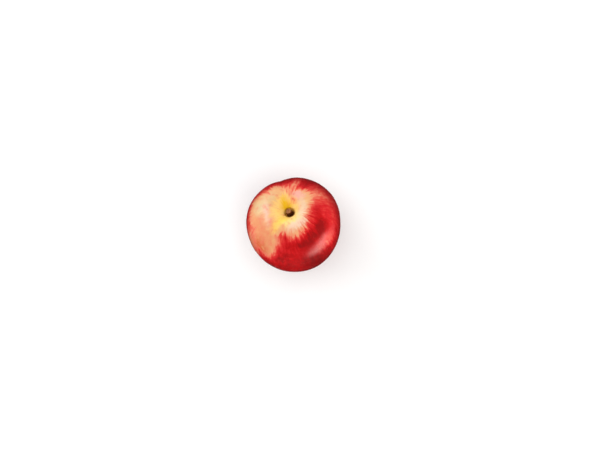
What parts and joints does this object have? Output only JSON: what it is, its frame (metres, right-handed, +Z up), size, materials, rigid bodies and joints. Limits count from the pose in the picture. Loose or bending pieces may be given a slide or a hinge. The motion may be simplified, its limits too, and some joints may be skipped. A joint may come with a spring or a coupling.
{
  "type": "nectarine",
  "caption": "Whole ripe nectarine, nearly round, with a deep stem cavity, a shallow suture down one side and a short woody stem stub.",
  "frame": {"origin": "on the surface the fruit rests on, under the middle of its bounding box", "axes": "+Z up; the stem axis leans 25 degrees from +Z, towards +Y and a little towards -X"},
  "size_m": [0.0678, 0.0678, 0.0665],
  "materials": {
    "skin": "smooth satin fruit skin, crimson to yellow",
    "stem_wood": "rough dry bark and torn wood"
  },
  "bodies": {
    "root": {"fruit": "skin", "stem_stub": "stem_wood"}
  },
  "joints": []
}
